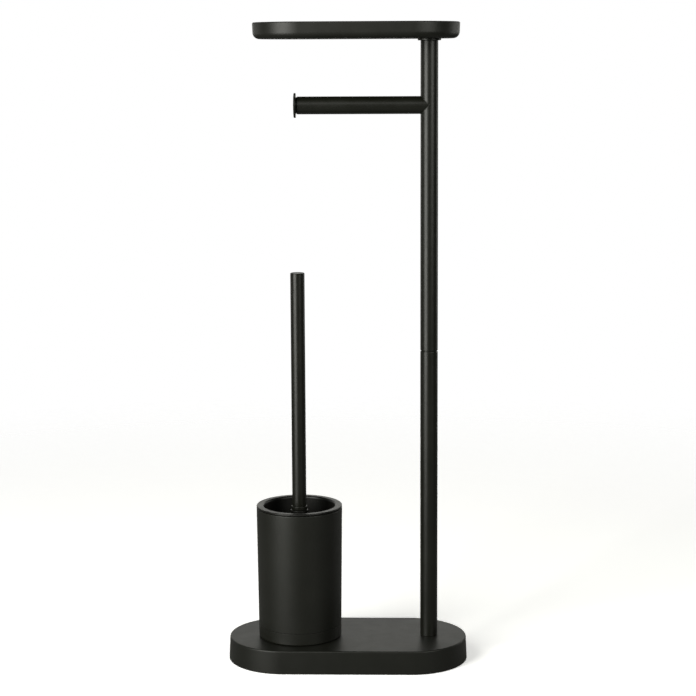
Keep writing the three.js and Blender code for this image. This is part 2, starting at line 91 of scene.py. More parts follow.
class NodeSheet:
    """A material's node tree, with short calls to add nodes and join them."""

    def __init__(self, name: str) -> None:
        """Starts an empty tree.

        Args:
            name: the material's name.
        """
        self.material = bpy.data.materials.new(name)
        self.material.use_nodes = True
        self.tree = self.material.node_tree
        self.tree.nodes.clear()

    def add(self, kind: str, **sockets: object) -> bpy.types.Node:
        """Adds a node and sets its inputs.

        Args:
            kind: the node's type without its ShaderNode prefix.
            sockets: input values by name, with underscores for spaces.

        Returns:
            The new node.
        """
        node = self.tree.nodes.new("ShaderNode" + kind)
        for key, value in sockets.items():
            node.inputs[key.replace("_", " ")].default_value = value
        return node

    def join(self, source: bpy.types.NodeSocket, target: bpy.types.NodeSocket) -> None:
        """Links an output to an input."""
        self.tree.links.new(source, target)

    def noise(self, scale: float, detail: float = 3.0, roughness: float = 0.5) -> bpy.types.NodeSocket:
        """Noise on Object coordinates.

        Args:
            scale: features per metre.
            detail: the number of finer layers.
            roughness: how strong the finer layers are.

        Returns:
            The noise's value.
        """
        place = self.add("TexCoord")
        node = self.add("TexNoise", Scale=scale, Detail=detail, Roughness=roughness)
        self.join(place.outputs["Object"], node.inputs["Vector"])
        return node.outputs["Fac"]

    def ranged(
        self, value: bpy.types.NodeSocket, low: float, high: float, start: float = 0.3, end: float = 0.7
    ) -> bpy.types.NodeSocket:
        """Maps a value onto a range.

        Args:
            value: the value to map.
            low: the result at start.
            high: the result at end.
            start: where the mapping starts.
            end: where it ends.

        Returns:
            The mapped value.
        """
        node = self.add("MapRange")
        self.join(value, node.inputs["Value"])
        for key, number in (("From Min", start), ("From Max", end), ("To Min", low), ("To Max", high)):
            node.inputs[key].default_value = number
        return node.outputs["Result"]

    def blend(
        self,
        share: bpy.types.NodeSocket,
        first: tuple[float, float, float],
        second: tuple[float, float, float],
    ) -> bpy.types.NodeSocket:
        """A colour between two, by a share.

        Args:
            share: 0 for the first colour, 1 for the second.
            first: the first colour.
            second: the second colour.

        Returns:
            The mixed colour.
        """
        ramp = self.add("ValToRGB")
        ramp.color_ramp.elements[0].color = (*first, 1.0)
        ramp.color_ramp.elements[1].color = (*second, 1.0)
        self.join(share, ramp.inputs["Fac"])
        return ramp.outputs["Color"]

    def bump(
        self, height: bpy.types.NodeSocket, depth: float, under: bpy.types.NodeSocket | None = None
    ) -> bpy.types.NodeSocket:
        """A bump of a given depth.

        Args:
            height: the pattern, from 0 to 1.
            depth: its height in metres.
            under: another bump that this one lies on.

        Returns:
            The normal.
        """
        node = self.add("Bump", Strength=1.0, Distance=depth)
        self.join(height, node.inputs["Height"])
        if under is not None:
            self.join(under, node.inputs["Normal"])
        return node.outputs["Normal"]

    def surface(self, **sockets: object) -> bpy.types.Node:
        """Adds the main shader and joins it to the output.

        Args:
            sockets: constant inputs by name, with underscores for spaces.

        Returns:
            The shader.
        """
        shader = self.add("BsdfPrincipled", **sockets)
        output = self.add("OutputMaterial")
        self.join(shader.outputs["BSDF"], output.inputs["Surface"])
        return shader


@dataclass(frozen=True)
class Finish:
    """A finish that is made once and then shared."""

    slot: Slot

    def sheet(self) -> NodeSheet:
        """Builds the node tree."""
        raise NotImplementedError

    def material(self) -> bpy.types.Material:
        """The finish's material, made on first use."""
        name = type(self).__name__ + "_" + self.slot.value
        return bpy.data.materials.get(name) or self.named(name)

    def named(self, name: str) -> bpy.types.Material:
        """Makes the material under a name."""
        made = self.sheet().material
        made.name = name
        return made

    def dress(self, piece: bpy.types.Object) -> None:
        """Puts the finish on a piece.

        Args:
            piece: a new piece or a node of the frame.
        """
        piece.data.materials.clear()
        piece.data.materials.append(self.material())


@dataclass(frozen=True)
class BlackSkin(Finish):
    """A black paint or moulding: its shades, its sheen, and the grain of its skin."""

    dark: tuple[float, float, float] = (0.0038, 0.0042, 0.0024)
    light: tuple[float, float, float] = (0.0060, 0.0064, 0.0042)
    sheen: tuple[float, float] = (0.32, 0.38)
    specular: float = 0.38
    grain: float = 1500.0
    grain_depth: float = 0.000012
    ripple: float = 260.0
    ripple_depth: float = 0.000015

    def sheet(self) -> NodeSheet:
        """Shades drift over centimetres, and a fine grain lies on a wider ripple."""
        sheet = NodeSheet(self.slot.value)
        shader = sheet.surface(Specular_IOR_Level=self.specular)
        drift = sheet.noise(22.0, 4.0)
        colour = sheet.blend(sheet.ranged(drift, 0.0, 1.0), self.dark, self.light)
        sheet.join(colour, shader.inputs["Base Color"])
        haze = sheet.noise(70.0, 5.0, 0.6)
        sheet.join(sheet.ranged(haze, *self.sheen), shader.inputs["Roughness"])
        wide = sheet.bump(sheet.noise(self.ripple, 2.0), self.ripple_depth)
        fine = sheet.bump(sheet.noise(self.grain, 2.0, 0.6), self.grain_depth, wide)
        sheet.join(fine, shader.inputs["Normal"])
        return sheet


@dataclass(frozen=True)
class ZincPlate(Finish):
    """Bright zinc on turned steel, clouded by its passivation."""

    def sheet(self) -> NodeSheet:
        """Clouds over the colour, and fine turning marks round the axis."""
        sheet = NodeSheet(self.slot.value)
        shader = sheet.surface(Metallic=0.95)
        clouds = sheet.ranged(sheet.noise(120.0, 4.0), 0.0, 1.0)
        colour = sheet.blend(clouds, (0.36, 0.38, 0.41), (0.58, 0.57, 0.53))
        sheet.join(colour, shader.inputs["Base Color"])
        sheet.join(sheet.ranged(sheet.noise(400.0, 3.0), 0.28, 0.46), shader.inputs["Roughness"])
        place = sheet.add("TexCoord")
        marks = sheet.add("TexWave", Scale=900.0, Distortion=1.5)
        marks.bands_direction = "Z"
        sheet.join(place.outputs["Object"], marks.inputs["Vector"])
        sheet.join(sheet.bump(marks.outputs["Fac"], 0.00001), shader.inputs["Normal"])
        return sheet


@dataclass(frozen=True)
class CastConcrete(Finish):
    """Grey cement with sand and small stones."""

    def sheet(self) -> NodeSheet:
        """Stones as cells of their own shade, set in sandy cement."""
        sheet = NodeSheet(self.slot.value)
        shader = sheet.surface(Specular_IOR_Level=0.25)
        place = sheet.add("TexCoord")
        stones = sheet.add("TexVoronoi", Scale=170.0)
        sheet.join(place.outputs["Object"], stones.inputs["Vector"])
        patches = sheet.ranged(sheet.noise(45.0, 6.0), 0.0, 1.0)
        grey = sheet.blend(patches, (0.20, 0.19, 0.17), (0.34, 0.33, 0.30))
        mix = sheet.add("Mix")
        mix.data_type = "RGBA"
        mix.blend_type = "OVERLAY"
        share = sheet.ranged(stones.outputs["Distance"], 0.5, 0.0, 0.1, 0.5)
        sheet.join(share, mix.inputs[0])
        sheet.join(grey, mix.inputs[6])
        sheet.join(stones.outputs["Color"], mix.inputs[7])
        dull = sheet.add("HueSaturation", Saturation=0.15)
        sheet.join(mix.outputs[2], dull.inputs["Color"])
        sheet.join(dull.outputs["Color"], shader.inputs["Base Color"])
        sand = sheet.noise(1100.0, 5.0, 0.7)
        sheet.join(sheet.ranged(sand, 0.75, 0.95), shader.inputs["Roughness"])
        sheet.join(sheet.bump(sand, 0.0003), shader.inputs["Normal"])
        return sheet


@dataclass(frozen=True)
class Nylon(Finish):
    """Drawn black nylon, shiny along each filament."""

    def sheet(self) -> NodeSheet:
        """Each stretch of filament takes a shade and a gloss of its own."""
        sheet = NodeSheet(self.slot.value)
        shader = sheet.surface(Specular_IOR_Level=0.5, Sheen_Weight=0.2, Sheen_Roughness=0.4)
        shade = sheet.ranged(sheet.noise(800.0, 2.0), 0.0, 1.0)
        colour = sheet.blend(shade, (0.006, 0.006, 0.006), (0.022, 0.022, 0.021))
        sheet.join(colour, shader.inputs["Base Color"])
        sheet.join(sheet.ranged(sheet.noise(350.0, 2.0), 0.28, 0.45), shader.inputs["Roughness"])
        sheet.join(sheet.bump(sheet.noise(5000.0, 1.0), 0.00001), shader.inputs["Normal"])
        return sheet


POWDER = BlackSkin(Slot.POWDER_COAT)
MOULDED = BlackSkin(
    Slot.MOULDED,
    dark=(0.0040, 0.0044, 0.0026),
    light=(0.0064, 0.0068, 0.0046),
    sheen=(0.42, 0.46),
    grain=2200.0,
    ripple=500.0,
)
LINER = BlackSkin(
    Slot.LINER,
    dark=(0.0036, 0.0036, 0.0030),
    light=(0.0056, 0.0056, 0.0046),
    sheen=(0.34, 0.42),
    specular=0.32,
    grain=3000.0,
    grain_depth=0.000008,
    ripple=120.0,
    ripple_depth=0.00003,
)
RUBBER = BlackSkin(
    Slot.RUBBER,
    dark=(0.008, 0.008, 0.008),
    light=(0.016, 0.016, 0.015),
    sheen=(0.7, 0.85),
    specular=0.25,
    grain=1800.0,
    grain_depth=0.00004,
)
ZINC = ZincPlate(Slot.ZINC)
CONCRETE = CastConcrete(Slot.CONCRETE)
NYLON = Nylon(Slot.BRISTLE)


# ---------------------------------------------------------------- shaping


@dataclass(frozen=True)
class Corner:
    """A corner of a profile in millimetres: out from the axis, up, and the radius that rounds it."""

    out: float
    up: float
    round: float = 0.0


@dataclass(frozen=True)
class Extent:
    """Where a node of the frame stands, in millimetres."""

    low: Vector
    high: Vector

    @classmethod
    def of(cls, node: str) -> Extent:
        """The extent of a node.

        Args:
            node: the node's name.

        Returns:
            Its extent at rest.
        """
        low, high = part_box(node)
        return cls(low / MM, high / MM)

    @property
    def centre(self) -> Vector:
        """The middle of the box."""
        return (self.low + self.high) / 2

    @property
    def size(self) -> Vector:
        """The box's three sides."""
        return self.high - self.low

    @property
    def axis(self) -> tuple[float, float]:
        """Where an upright axis through the middle stands."""
        return self.centre.x, self.centre.y


def rounded(corners: Sequence[Corner], closed: bool, facets: int = 5, guard: float = 0.3) -> list[Vector]:
    """A profile's points, with an arc at each rounded corner and a guard point where a long run meets it.

    Args:
        corners: the corners in order.
        closed: whether the last corner joins the first.
        facets: straight pieces in each arc.
        guard: how far from an arc its guard stands, in millimetres. It keeps the run's shading flat.

    Returns:
        Points in metres, x out from the axis and z up.
    """
    count = len(corners)
    runs: list[list[Vector]] = []
    for i, corner in enumerate(corners):
        here = Vector((corner.out, 0.0, corner.up))
        if corner.round <= 0.0 or (not closed and i in (0, count - 1)):
            runs.append([here])
            continue
        before = corners[i - 1]
        after = corners[(i + 1) % count]
        to_before = (Vector((before.out, 0.0, before.up)) - here).normalized()
        to_after = (Vector((after.out, 0.0, after.up)) - here).normalized()
        half = to_before.angle(to_after) / 2
        start = here + to_before * (corner.round / math.tan(half))
        end = here + to_after * (corner.round / math.tan(half))
        middle = here + (to_before + to_after).normalized() * (corner.round / math.sin(half))
        rays = [(start - middle).lerp(end - middle, step / facets) for step in range(facets + 1)]
        runs.append([middle + ray.normalized() * corner.round for ray in rays])
    if closed:
        runs.append(runs[0][:1])
    points: list[Vector] = []
    for i, run in enumerate(runs):
        if points:
            gap = run[0] - points[-1]
            if gap.length > 4 * guard:
                step = gap.normalized() * guard
                if len(runs[i - 1]) > 1:
                    points.append(points[-1] + step)
                if len(run) > 1 or (closed and i == count and len(runs[0]) > 1):
                    points.append(run[0] - step)
        points += run
    return [point * MM for point in points]


def leave_edit() -> None:
    """Back to object mode with nothing selected."""
    if bpy.context.object and bpy.context.object.mode != "OBJECT":
        bpy.ops.object.mode_set(mode="OBJECT")
    bpy.ops.object.select_all(action="DESELECT")


def only(piece: bpy.types.Object) -> None:
    """Selects one object and makes it active."""
    leave_edit()
    piece.select_set(True)
    bpy.context.view_layer.objects.active = piece


def pick_vertices(piece: bpy.types.Object, test: Callable[[Vector], bool]) -> None:
    """Selects the vertices that pass a test, in edit mode.

    Args:
        piece: the object in edit mode.
        test: says whether a vertex at this place is wanted.
    """
    bpy.ops.mesh.select_mode(type="VERT")
    bpy.ops.mesh.select_all(action="DESELECT")
    mesh = bmesh.from_edit_mesh(piece.data)
    for vertex in mesh.verts:
        vertex.select = test(vertex.co)
    mesh.select_flush(True)
    bmesh.update_edit_mesh(piece.data)


def close_rims(piece: bpy.types.Object) -> None:
    """Closes each open rim of a piece in edit mode with one flat face."""
    mesh = bmesh.from_edit_mesh(piece.data)
    heights = sorted({round(v.co.z, 6) for e in mesh.edges if e.is_boundary for v in e.verts})
    for height in heights:
        bpy.ops.mesh.select_mode(type="EDGE")
        bpy.ops.mesh.select_all(action="DESELECT")
        mesh = bmesh.from_edit_mesh(piece.data)
        for edge in mesh.edges:
            if edge.is_boundary and all(abs(v.co.z - height) < 1e-5 for v in edge.verts):
                edge.select_set(True)
        bmesh.update_edit_mesh(piece.data)
        bpy.ops.mesh.edge_face_add()


def smooth(piece: bpy.types.Object, angle: float = 32.0) -> None:
    """Shades a piece smooth up to an angle in degrees."""
    only(piece)
    bpy.ops.object.shade_smooth_by_angle(angle=math.radians(angle))


def settle(piece: bpy.types.Object) -> None:
    """Moves a piece's place into its mesh, so that its object stands at the origin."""
    only(piece)
    bpy.ops.object.transform_apply(location=True, rotation=True, scale=True)


def turned(
    name: str,
    corners: Sequence[Corner],
    axis: tuple[float, float] = (0.0, 0.0),
    *,
    steps: int = 96,
    closed: bool = False,
    stretch: float = 0.0,
    facets: int = 5,
) -> bpy.types.Object:
    """Spins a profile about an upright axis.

    Args:
        name: the piece's name.
        corners: the profile; an open one starts and ends on the axis, or on a rim that gets closed.
        axis: where the axis stands, in millimetres.
        steps: facets round the axis.
        closed: whether the profile joins itself, as a tube's wall does.
        stretch: how far the two halves move apart along X, in millimetres, which makes a stadium.
        facets: straight pieces in each rounded corner.

    Returns:
        The piece, in object mode.
    """
    points = rounded(corners, closed, facets)
    leave_edit()
    bpy.ops.mesh.primitive_plane_add(size=MM)
    piece = bpy.context.object
    piece.name = name
    piece.data.name = name
    bpy.ops.object.mode_set(mode="EDIT")
    bpy.ops.mesh.select_mode(type="VERT")
    bpy.ops.mesh.select_all(action="SELECT")
    bpy.ops.mesh.merge(type="CENTER")
    bpy.ops.transform.translate(value=points[0])
    for before, after in zip(points, points[1:]):
        bpy.ops.mesh.extrude_region_move(TRANSFORM_OT_translate={"value": after - before})
    bpy.ops.mesh.select_all(action="SELECT")
    bpy.ops.mesh.spin(steps=steps, angle=TURN, center=(0, 0, 0), axis=(0, 0, 1))
    bpy.ops.mesh.select_all(action="SELECT")
    bpy.ops.mesh.remove_doubles(threshold=1e-7)
    leave_edit()
    if stretch:
        piece.rotation_euler.z = math.pi / steps
        settle(piece)
        only(piece)
        bpy.ops.object.mode_set(mode="EDIT")
        for side in (-1, 1):
            pick_vertices(piece, lambda place, side=side: place.x * side > 0)
            bpy.ops.transform.translate(value=(side * stretch * MM, 0, 0))
        close_rims(piece)
        leave_edit()
    only(piece)
    bpy.ops.object.mode_set(mode="EDIT")
    bpy.ops.mesh.select_all(action="SELECT")
    bpy.ops.mesh.normals_make_consistent(inside=False)
    leave_edit()
    piece.location = (axis[0] * MM, axis[1] * MM, 0)
    settle(piece)
    smooth(piece)
    return piece


def ring_section(inner: float, outer: float, low: float, high: float, edge: float = 0.0) -> list[Corner]:
    """The square section of a ring or, from the axis, of a disc. Its outer corners may be rounded."""
    return [Corner(inner, low), Corner(outer, low, edge), Corner(outer, high, edge), Corner(inner, high)]


def lay(piece: bpy.types.Object, turn: Matrix, place: Sequence[float]) -> None:
    """Turns a piece that was made upright, and puts it in place.

    Args:
        piece: the piece.
        turn: the turn.
        place: where its origin goes, in millimetres.
    """
    piece.matrix_world = Matrix.Translation(Vector(place) * MM) @ turn.to_4x4()
    settle(piece)


def carve(piece: bpy.types.Object, cutter: bpy.types.Object) -> None:
    """Cuts one piece away from another, and removes it.

    Args:
        piece: the piece that stays.
        cutter: the piece that is cut away.
    """
    only(piece)
    cut = piece.modifiers.new("carve", "BOOLEAN")
    cut.operation = "DIFFERENCE"
    cut.solver = "EXACT"
    cut.object = cutter
    bpy.ops.object.modifier_apply(modifier=cut.name)
    bpy.data.objects.remove(cutter)


def copied(piece: bpy.types.Object, name: str, offset: Sequence[float]) -> bpy.types.Object:
    """A copy with a mesh of its own.

    Args:
        piece: the piece to copy.
        name: the copy's name.
        offset: how far it is from the piece, in millimetres.

    Returns:
        The copy.
    """
    twin = piece.copy()
    twin.data = piece.data.copy()
    twin.name = name
    twin.data.name = name
    bpy.context.scene.collection.objects.link(twin)
    twin.location = Vector(offset) * MM
    settle(twin)
    return twin


def joined(pieces: Sequence[bpy.types.Object], name: str) -> bpy.types.Object:
    """Several pieces as one.

    Args:
        pieces: the pieces.
        name: the name of the result.

    Returns:
        The joined piece.
    """
    leave_edit()
    for piece in pieces:
        piece.select_set(True)
    bpy.context.view_layer.objects.active = pieces[0]
    bpy.ops.object.join()
    whole = bpy.context.object
    whole.name = name
    whole.data.name = name
    return whole


class Body(Enum):
    """The frame's moving bodies."""

    STAND = "stand"
    HOLDER = "holder"
    LINER = "liner"
    BRUSH = "brush"


def place_on(piece: bpy.types.Object, body: Body, finish: Finish, *nodes: str) -> None:
    """Finishes a new piece: its material, its body and the nodes that it stands for.

    Args:
        piece: the piece.
        body: what it moves with.
        finish: its finish.
        nodes: the frame's nodes that it replaces.
    """
    finish.dress(piece)
    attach(piece, body.value)
    if nodes:
        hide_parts(*nodes)
    LOG.info("%s: %d faces on %s", piece.name, len(piece.data.polygons), body.value)


def dress_nodes(finish: Finish, *nodes: str) -> None:
    """Gives nodes of the frame their finish.

    Args:
        finish: the finish.
        nodes: the nodes' names.
    """
    for node in nodes:
        finish.dress(frame["nodes"][node])
        LOG.info("%s: dressed", node)


# ---------------------------------------------------------------- base


@dataclass
class WeightedBase:
    """The cover, its ballast and plate, and the feet and screws under it. Sizes in millimetres."""

    draft: float = 1.2
    top_round: float = 1.5
    rim_round: float = 0.5
    wall: float = 2.5
    foot_groove: float = 0.5
    screw_slot: float = 0.9
    screw_cross: float = 2.8
    screw_slot_depth: float = 1.3
    screw_ridge: float = 0.35
    screw_shank: float = 1.2
    screw_head_height: float = 1.2
    screw_pitch: float = 1.1

    def cover(self) -> None:
        """The pressed cover: a drafted side, a rounded top edge and a hollow underside."""
        box = Extent.of("base_cover")
        radius = box.size.y / 2
        top = radius - self.draft
        rim, roof = box.low.z, box.high.z
        inside = roof - self.wall
        middle = radius / 3
        piece = turned(
            "base_cover_skin",
            [
                Corner(middle, inside),
                Corner(top - self.wall, inside, self.rim_round),
                Corner(radius - self.wall, rim),
                Corner(radius, rim, self.rim_round),
                Corner(top, roof, self.top_round),
                Corner(middle, roof),
            ],
            box.axis,
            steps=120,
            stretch=(box.size.x - box.size.y) / 2,
            facets=8,
        )
        place_on(piece, Body.STAND, MOULDED, "base_cover")

    def feet(self) -> None:
        """Rubber feet with rings in their soles, one made and three copied."""
        boxes = [Extent.of(f"rubber_foot_{i}") for i in range(1, 5)]
        first = boxes[0]
        radius, top = first.size.x / 2, first.high.z
        groove = self.foot_groove
        sole = [Corner(0.0, 0.0)]
        for ring in (0.3, 0.55, 0.8):
            out = radius * ring
            sole += [
                Corner(out - groove, 0.0),
                Corner(out - groove / 2, groove),
                Corner(out + groove / 2, groove),
                Corner(out + groove, 0.0),
            ]
        sole += [Corner(radius, 0.0, 0.4), Corner(radius, top, 0.3), Corner(0.0, top)]
        piece = turned("rubber_foot_sole_1", sole, first.axis, steps=48, facets=3)
        place_on(piece, Body.STAND, RUBBER, "rubber_foot_1")
        for number, box in enumerate(boxes[1:], start=2):
            twin = copied(piece, f"rubber_foot_sole_{number}", box.centre - first.centre)
            place_on(twin, Body.STAND, RUBBER, f"rubber_foot_{number}")

    def screws(self) -> None:
        """Ridged screws with a cross in their heads, one made and five copied."""
        boxes = [Extent.of(f"plate_screw_{i}") for i in range(1, 7)]
        first = boxes[0]
        head, low, high = first.size.y / 2, first.low.z, first.high.z
        neck = low + self.screw_head_height
        shank, pitch = self.screw_shank, self.screw_pitch
        ridges = [Corner(shank, neck + 0.4)]
        for turn in range(int((high - neck - 2.0) / pitch)):
            foot = neck + 0.8 + turn * pitch
            ridges += [
                Corner(shank - self.screw_ridge, foot),
                Corner(shank, foot + pitch / 2),
                Corner(shank - self.screw_ridge, foot + pitch * 0.95),
            ]
        profile = [
            Corner(0.0, low),
            Corner(head, low, 0.35),
            Corner(head, neck, 0.2),
            *ridges,
            Corner(0.0, high),
        ]
        piece = turned("plate_screw_thread_1", profile, first.axis, steps=24, facets=3)
        cross, slot = self.screw_cross, self.screw_slot
        for across in ((cross, slot), (slot, cross)):
            leave_edit()
            middle = Vector((first.centre.x, first.centre.y, low)) * MM
            size = (*across, self.screw_slot_depth)
            bpy.ops.mesh.primitive_cube_add(size=MM, location=middle, scale=size)
            carve(piece, bpy.context.object)
        smooth(piece)
        place_on(piece, Body.STAND, ZINC, "plate_screw_1")
        for number, box in enumerate(boxes[1:], start=2):
            twin = copied(piece, f"plate_screw_thread_{number}", box.centre - first.centre)
            place_on(twin, Body.STAND, ZINC, f"plate_screw_{number}")

    def build(self) -> None:
        """Makes the pieces in view and dresses those inside."""
        self.cover()
        self.feet()
        self.screws()
        dress_nodes(MOULDED, "base_plate", "bolt_access_cap")
        dress_nodes(CONCRETE, "ballast_block")
        dress_nodes(ZINC, "pole_bolt", "pole_washer")


# ---------------------------------------------------------------- pole and arm


@dataclass
class Pole:
    """The two tubes, the shoulder that shows between them, and the flange on top. In millimetres."""

    wall: float = 1.2
    foot_edge: float = 0.5
    lower_lip: float = 1.0
    upper_lip: float = 0.7
    top_edge: float = 0.4
    shoulder_inset: float = 0.9
    flange_edge: float = 0.5
    stud_bore: float = 5.3
    screw_bore: float = 3.3

    def tube(self, name: str, node: str, ends: tuple[float, float], edges: tuple[float, float]) -> None:
        """One tube with rounded ends.

        Args:
            name: the piece's name.
            node: the node that it stands for.
            ends: its lower and upper ends.
            edges: the radii that round them.
        """
        bottom, top = ends
        box = Extent.of(node)
        radius = box.size.x / 2
        piece = turned(
            name,
            [
                Corner(radius - self.wall, bottom),
                Corner(radius, bottom, edges[0]),
                Corner(radius, top, edges[1]),
                Corner(radius - self.wall, top),
            ],
            box.axis,
            closed=True,
        )
        place_on(piece, Body.STAND, POWDER, node)

    def build(self) -> None:
        """Makes the tubes, shoulder and flange, and dresses the inserts and stud."""
        lower, upper = Extent.of("lower_tube"), Extent.of("upper_tube")
        plate = Extent.of("shelf_flange")
        floor = Extent.of("base_cover").high.z
        shelf = Extent.of("shelf_tray").low.z
        ends, edges = (floor, lower.high.z), (self.foot_edge, self.lower_lip)
        self.tube("lower_tube_coat", "lower_tube", ends, edges)
        ends, edges = (upper.low.z, plate.low.z), (self.upper_lip, self.top_edge)
        self.tube("upper_tube_coat", "upper_tube", ends, edges)
        radius = lower.size.x / 2
        shoulder = turned(
            "joint_shoulder",
            ring_section(self.stud_bore, radius - self.shoulder_inset, lower.high.z, upper.low.z),
            lower.axis,
            closed=True,
        )
        place_on(shoulder, Body.STAND, POWDER)
        out = plate.size.x / 2
        flange = turned(
            "shelf_flange_disc",
            ring_section(self.screw_bore, out, plate.low.z, shelf, self.flange_edge),
            plate.axis,
            closed=True,
        )
        place_on(flange, Body.STAND, POWDER, "shelf_flange")
        inserts = (f"{tube}_{end}_insert" for tube in ("lower", "upper") for end in ("foot", "top"))
        dress_nodes(ZINC, *inserts, "joint_stud")


@dataclass
class RollArm:
    """The arm saddled to the pole, its weld and its end disc. Sizes in millimetres."""

    wall: float = 1.2
    chamfer: float = 1.0
    neck: float = 8.6
    disc_edge: float = 0.4
    plug: float = 7.9
    plug_length: float = 14.0
    disc: float = 2.1
    dome: float = 0.7
    dome_radius: float = 8.0
    weld: float = 0.3
    sink: float = 0.03

    def tube(self, pole: Extent, arm: Extent) -> None:
        """The tube, cut to saddle the pole.

        Args:
            pole: the upper tube's extent.
            arm: the arm tube's extent.
        """
        radius = arm.size.z / 2
        reach = pole.centre.x - arm.low.x
        piece = turned(
            "roll_arm_coat",
            [
                Corner(radius - self.wall, 0.0),
                Corner(radius, 0.0),
                Corner(radius, reach - self.chamfer),
                Corner(radius - self.chamfer, reach),
                Corner(radius - self.wall, reach),
            ],
            closed=True,
        )
        lay(piece, Matrix.Rotation(-math.pi / 2, 3, "Y"), (pole.centre.x, 0.0, arm.centre.z))
        cutter = turned(
            "saddle_cutter",
            ring_section(0.0, radius - self.sink, arm.centre.z - 2 * radius, arm.centre.z + 2 * radius),
            pole.axis,
        )
        carve(piece, cutter)
        smooth(piece)
        place_on(piece, Body.STAND, POWDER, "roll_arm_tube")

    def bead(self, pole: Extent, arm: Extent) -> None:
        """The weld round the arm's root, as a thin bead under the coat.

        Args:
            pole: the upper tube's extent.
            arm: the arm tube's extent.
        """
        radius = arm.size.z / 2 * MM
        count = 96
        line = bpy.data.curves.new("roll_arm_weld", "CURVE")
        line.dimensions = "3D"
        line.bevel_depth = self.weld * MM
        line.bevel_resolution = 2
        spline = line.splines.new("POLY")
        spline.points.add(count - 1)
        spline.use_cyclic_u = True
        for i, point in enumerate(spline.points):
            angle = TURN * (i + 0.5) / count
            side, up = math.sin(angle), math.cos(angle)
            place = Vector((-abs(up) * radius, side * radius, up * radius))
            shifted = place + Vector((pole.centre.x, 0.0, arm.centre.z)) * MM
            point.co = (*shifted, 1.0)
        leave_edit()
        made = bpy.data.objects.new("roll_arm_weld", line)
        bpy.context.scene.collection.objects.link(made)
        only(made)
        bpy.ops.object.convert(target="MESH")
        piece = bpy.context.object
        smooth(piece, 60.0)
        place_on(piece, Body.STAND, POWDER)

    def cap(self, pole: Extent, arm: Extent, end: Extent) -> None:
        """The plug, narrow neck and thin disc with its slight dome.

        Args:
            pole: the upper tube's extent.
            arm: the arm tube's extent.
            end: the cap's extent.
        """
        reach = pole.centre.x - arm.low.x
        tip = pole.centre.x - end.low.x
        face = tip - self.dome
        back = face - self.disc
        radius = end.size.z / 2
        swell = [
            Corner(self.dome_radius * math.cos(a), face + self.dome * math.sin(a))
            for a in (math.radians(d) for d in (0, 15, 30, 45, 60, 75))
        ]
        piece = turned(
            "roll_arm_end_disc",
            [
                Corner(0.0, reach - self.plug_length),
                Corner(self.plug, reach - self.plug_length, 0.5),
                Corner(self.plug, reach - 0.2),
                Corner(self.neck, reach - 0.2),
                Corner(self.neck, back),
                Corner(radius, back, self.disc_edge),
                Corner(radius, face, self.disc_edge),
                *swell,
                Corner(0.0, tip),
            ],
        )
        lay(piece, Matrix.Rotation(-math.pi / 2, 3, "Y"), (pole.centre.x, 0.0, arm.centre.z))
        smooth(piece)
        place_on(piece, Body.STAND, POWDER, "roll_arm_cap")

    def build(self) -> None:
        """Makes the arm's pieces."""
        pole, arm, end = Extent.of("upper_tube"), Extent.of("roll_arm_tube"), Extent.of("roll_arm_cap")
        self.tube(pole, arm)
        self.bead(pole, arm)
        self.cap(pole, arm, end)


# ---------------------------------------------------------------- shelf


@dataclass
class TrayShelf:
    """The tray, its screw and the cap over it. Sizes in millimetres."""

    under_round: float = 7.0
    draft: float = 0.7
    wall: float = 3.0
    lip_round: float = 1.4
    floor: float = 5.0
    floor_round: float = 4.5
    cap_seat: float = 0.35
    cap_edge: float = 0.5

    def tray(self, cap: Extent) -> None:
        """The stadium tray with its recess.

        Args:
            cap: the screw cap's extent.
        """
        box = Extent.of("shelf_tray")
        radius = box.size.y / 2
        low, high = box.low.z, box.high.z
        middle = radius / 3
        piece = turned(
            "shelf_tray_moulding",
            [
                Corner(middle, low),
                Corner(radius - self.draft, low, self.under_round),
                Corner(radius, high, self.lip_round),
                Corner(radius - self.wall, high, self.lip_round),
                Corner(radius - self.wall - self.draft, low + self.floor, self.floor_round),
                Corner(middle, low + self.floor),
            ],
            box.axis,
            steps=120,
            stretch=(box.size.x - box.size.y) / 2,
            facets=9,
        )
        seat = turned(
            "seat_cutter",
            ring_section(0.0, cap.size.x / 2 + self.cap_seat, cap.low.z - 0.2, high),
            cap.axis,
        )
        carve(piece, seat)
        smooth(piece)
        place_on(piece, Body.STAND, MOULDED, "shelf_tray")

    def screw_cap(self, cap: Extent) -> None:
        """The cap that covers the screw.

        Args:
            cap: its extent.
        """
        radius = cap.size.x / 2
        piece = turned(
            "shelf_screw_cover",
            [
                Corner(0.0, cap.low.z),
                Corner(radius, cap.low.z, 0.2),
                Corner(radius, cap.high.z - 0.1, self.cap_edge),
                Corner(radius * 0.5, cap.high.z),
                Corner(0.0, cap.high.z),
            ],
            cap.axis,
            steps=64,
        )
        place_on(piece, Body.STAND, MOULDED, "shelf_screw_cap")

    def build(self) -> None:
        """Makes the tray and the cap, and dresses the screw."""
        cap = Extent.of("shelf_screw_cap")
        self.tray(cap)
        self.screw_cap(cap)
        dress_nodes(ZINC, "shelf_screw")


# ---------------------------------------------------------------- brush set


